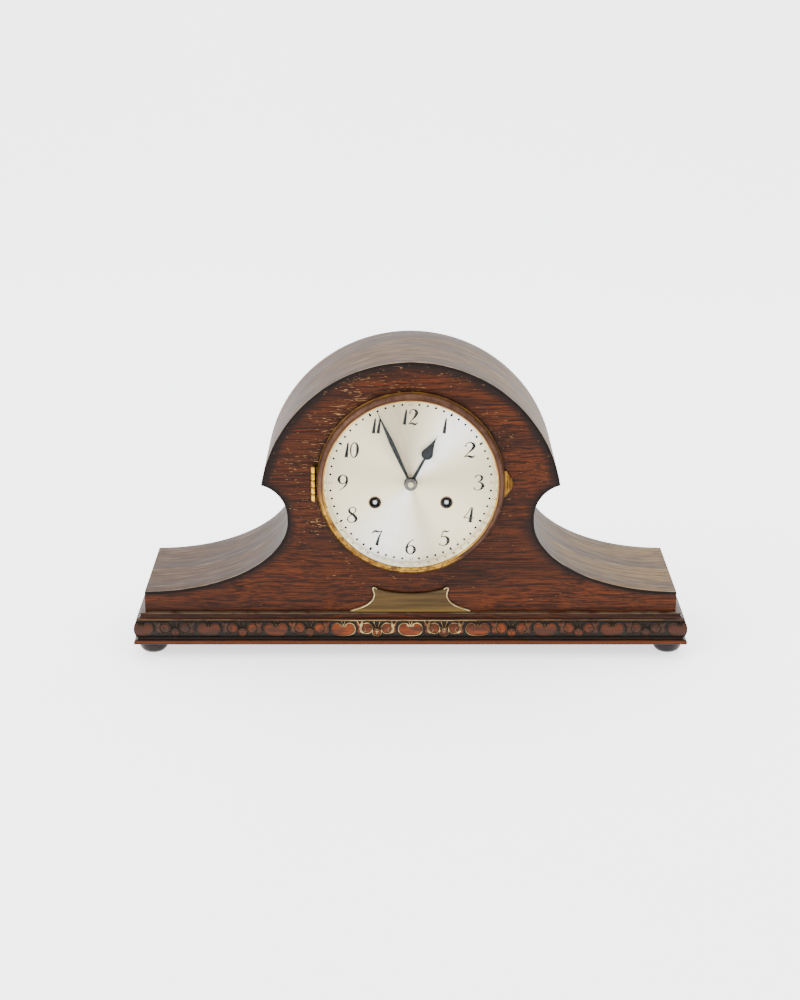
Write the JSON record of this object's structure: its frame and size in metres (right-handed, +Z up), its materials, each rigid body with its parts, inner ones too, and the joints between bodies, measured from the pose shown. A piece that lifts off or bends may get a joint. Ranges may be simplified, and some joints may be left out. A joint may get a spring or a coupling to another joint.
{
  "type": "mantel clock",
  "caption": "Mantel clock with a round hood and swept wings on a carved plinth, hinged glazed bezel, key-wound pendulum movement and striking hammer.",
  "frame": {"origin": "middle of the footprint, on the shelf under the feet", "axes": "+X across the clock to its right seen from the front, +Y from the front to the back, +Z up"},
  "size_m": [0.445, 0.1292, 0.2427],
  "materials": {
    "case_oak": "dark red-brown oak veneer with near-black streaks and pale flecks, satin",
    "skin_oak": "grey-brown satin veneer bent over the hood and wings",
    "inner_wood": "plain unfinished softwood and plywood",
    "carved_oak": "dark stained carved moulding with orange-brown high spots",
    "foot_wood": "black-brown turned wood, satin",
    "bezel_brass": "worn brass plating with copper-brown patina and pitting",
    "gilt_brass": "bright polished brass",
    "plaque_brass": "brushed olive brass with bright edges",
    "movement_brass": "lacquered clock brass",
    "steel": "polished clock steel",
    "dial_silver": "silvered metal with radial sunburst brushing",
    "glass": "clear flat glass",
    "hand_black": "blued-black steel",
    "iron": "dull cast iron"
  },
  "bodies": {
    "case": {"front_panel": "case_oak", "hood_skin": "skin_oak", "left_wing_skin": "skin_oak", "right_wing_skin": "skin_oak", "left_end_panel": "case_oak", "right_end_panel": "case_oak", "back_panel": "inner_wood", "base_board": "inner_wood", "glue_blocks": "inner_wood", "plinth_board": "carved_oak", "front_moulding": "carved_oak", "side_mouldings": "carved_oak", "plaque": "plaque_brass", "feet": "foot_wood", "foot_screws": "steel", "door_hinges_fixed": "gilt_brass", "door_hinge_pins": "steel", "bezel_hinge_fixed": "gilt_brass", "bezel_hinge_pin": "steel", "dial_plate": "dial_silver", "dial_pan": "bezel_brass", "dial_screws": "gilt_brass", "winding_eyelets": "gilt_brass", "movement_front_plate": "movement_brass", "movement_rear_plate": "movement_brass", "plate_pillars": "movement_brass", "movement_screws": "steel", "suspension_bracket": "movement_brass", "gong_block": "iron", "gong_rods": "movement_brass"},
    "back_door": {"back_door": "inner_wood", "door_hinges_moving": "gilt_brass", "door_knob": "gilt_brass"},
    "bezel": {"bezel_ring": "bezel_brass", "bezel_glass": "glass", "sight_ring": "gilt_brass", "thumb_tab": "bezel_brass", "bezel_hinge_moving": "gilt_brass"},
    "centre_arbor": {"centre_wheel": "movement_brass", "minute_hand": "hand_black", "hand_nut": "steel"},
    "hour_wheel": {"hour_wheel": "movement_brass", "hour_hand": "hand_black"},
    "minute_wheel": {"minute_wheel": "movement_brass"},
    "intermediate_wheel": {"intermediate_wheel": "movement_brass"},
    "time_barrel": {"time_barrel": "movement_brass"},
    "time_winding_arbor": {"time_winding_arbor": "steel"},
    "third_wheel": {"third_wheel": "movement_brass"},
    "escape_wheel": {"escape_wheel": "movement_brass"},
    "anchor": {"anchor": "steel"},
    "pendulum": {"pendulum_rod": "steel", "pendulum_bob": "movement_brass"},
    "rating_nut": {"rating_nut": "movement_brass"},
    "strike_barrel": {"strike_barrel": "movement_brass"},
    "strike_winding_arbor": {"strike_winding_arbor": "steel"},
    "strike_wheel": {"strike_wheel": "movement_brass"},
    "locking_wheel": {"locking_wheel": "movement_brass"},
    "fly": {"fly": "steel"},
    "hammer": {"hammer": "steel"}
  },
  "joints": [
    {"name": "bezel_hinge", "type": "hinge", "parent": "case", "child": "bezel", "pos_m": [-0.0765, -0.0576, 0.1453], "axis": [0, 0, -1], "range_deg": [0, 120]},
    {"name": "back_door_hinge", "type": "hinge", "parent": "case", "child": "back_door", "pos_m": [-0.062, 0.0562, 0.129], "axis": [0, 0, 1], "range_deg": [0, 110]},
    {"name": "centre_arbor_turn", "type": "hinge", "parent": "case", "child": "centre_arbor", "pos_m": [0, -0.026, 0.1453], "axis": [0, 1, 0], "continuous": true},
    {"name": "hour_wheel_turn", "type": "hinge", "parent": "case", "child": "hour_wheel", "pos_m": [0, -0.05, 0.1453], "axis": [0, 1, 0], "continuous": true},
    {"name": "minute_wheel_turn", "type": "hinge", "parent": "case", "child": "minute_wheel", "pos_m": [0, -0.048, 0.1303], "axis": [0, 1, 0], "continuous": true},
    {"name": "intermediate_wheel_turn", "type": "hinge", "parent": "case", "child": "intermediate_wheel", "pos_m": [0.02731, -0.026, 0.15953], "axis": [0, 1, 0], "continuous": true},
    {"name": "time_barrel_turn", "type": "hinge", "parent": "case", "child": "time_barrel", "pos_m": [0.0283, -0.026, 0.1288], "axis": [0, 1, 0], "continuous": true},
    {"name": "time_winding_turn", "type": "hinge", "parent": "case", "child": "time_winding_arbor", "pos_m": [0.0283, -0.026, 0.1288], "axis": [0, 1, 0], "continuous": true},
    {"name": "third_wheel_turn", "type": "hinge", "parent": "case", "child": "third_wheel", "pos_m": [-0.00174, -0.026, 0.16524], "axis": [0, 1, 0], "continuous": true},
    {"name": "escape_wheel_turn", "type": "hinge", "parent": "case", "child": "escape_wheel", "pos_m": [0, -0.026, 0.18318], "axis": [0, 1, 0], "continuous": true},
    {"name": "pendulum_swing", "type": "hinge", "parent": "case", "child": "pendulum", "pos_m": [0, 0.0006, 0.20178], "axis": [0, 1, 0], "range_deg": [-4, 4]},
    {"name": "anchor_swing", "type": "hinge", "parent": "case", "child": "anchor", "pos_m": [0, -0.026, 0.20178], "axis": [0, 1, 0], "range_deg": [-4, 4]},
    {"name": "rating_nut_turn", "type": "hinge", "parent": "pendulum", "child": "rating_nut", "pos_m": [0, 0.0006, 0.08178], "axis": [0, 0, 1], "continuous": true},
    {"name": "strike_wheel_turn", "type": "hinge", "parent": "case", "child": "strike_wheel", "pos_m": [-0.03364, -0.026, 0.15908], "axis": [0, 1, 0], "continuous": true},
    {"name": "strike_barrel_turn", "type": "hinge", "parent": "case", "child": "strike_barrel", "pos_m": [-0.0283, -0.026, 0.1288], "axis": [0, 1, 0], "continuous": true},
    {"name": "strike_winding_turn", "type": "hinge", "parent": "case", "child": "strike_winding_arbor", "pos_m": [-0.0283, -0.026, 0.1288], "axis": [0, 1, 0], "continuous": true},
    {"name": "locking_wheel_turn", "type": "hinge", "parent": "case", "child": "locking_wheel", "pos_m": [-0.03069, -0.026, 0.17583], "axis": [0, 1, 0], "continuous": true},
    {"name": "fly_turn", "type": "hinge", "parent": "case", "child": "fly", "pos_m": [-0.02407, -0.026, 0.18728], "axis": [0, 1, 0], "continuous": true},
    {"name": "hammer_lift", "type": "hinge", "parent": "case", "child": "hammer", "pos_m": [-0.044, -0.026, 0.1033], "axis": [0, 1, 0], "range_deg": [0, 12]}
  ],
  "couplings": [
    {"joint": "minute_wheel_turn", "follows": "centre_arbor_turn", "ratio": -0.33333},
    {"joint": "hour_wheel_turn", "follows": "centre_arbor_turn", "ratio": 0.083333},
    {"joint": "intermediate_wheel_turn", "follows": "centre_arbor_turn", "ratio": -0.14286},
    {"joint": "time_barrel_turn", "follows": "centre_arbor_turn", "ratio": 0.019841},
    {"joint": "third_wheel_turn", "follows": "centre_arbor_turn", "ratio": -12},
    {"joint": "escape_wheel_turn", "follows": "centre_arbor_turn", "ratio": 144},
    {"joint": "anchor_swing", "follows": "pendulum_swing", "ratio": 1},
    {"joint": "strike_barrel_turn", "follows": "strike_wheel_turn", "ratio": -0.13889},
    {"joint": "locking_wheel_turn", "follows": "strike_wheel_turn", "ratio": -7.5},
    {"joint": "fly_turn", "follows": "strike_wheel_turn", "ratio": 60}
  ]
}
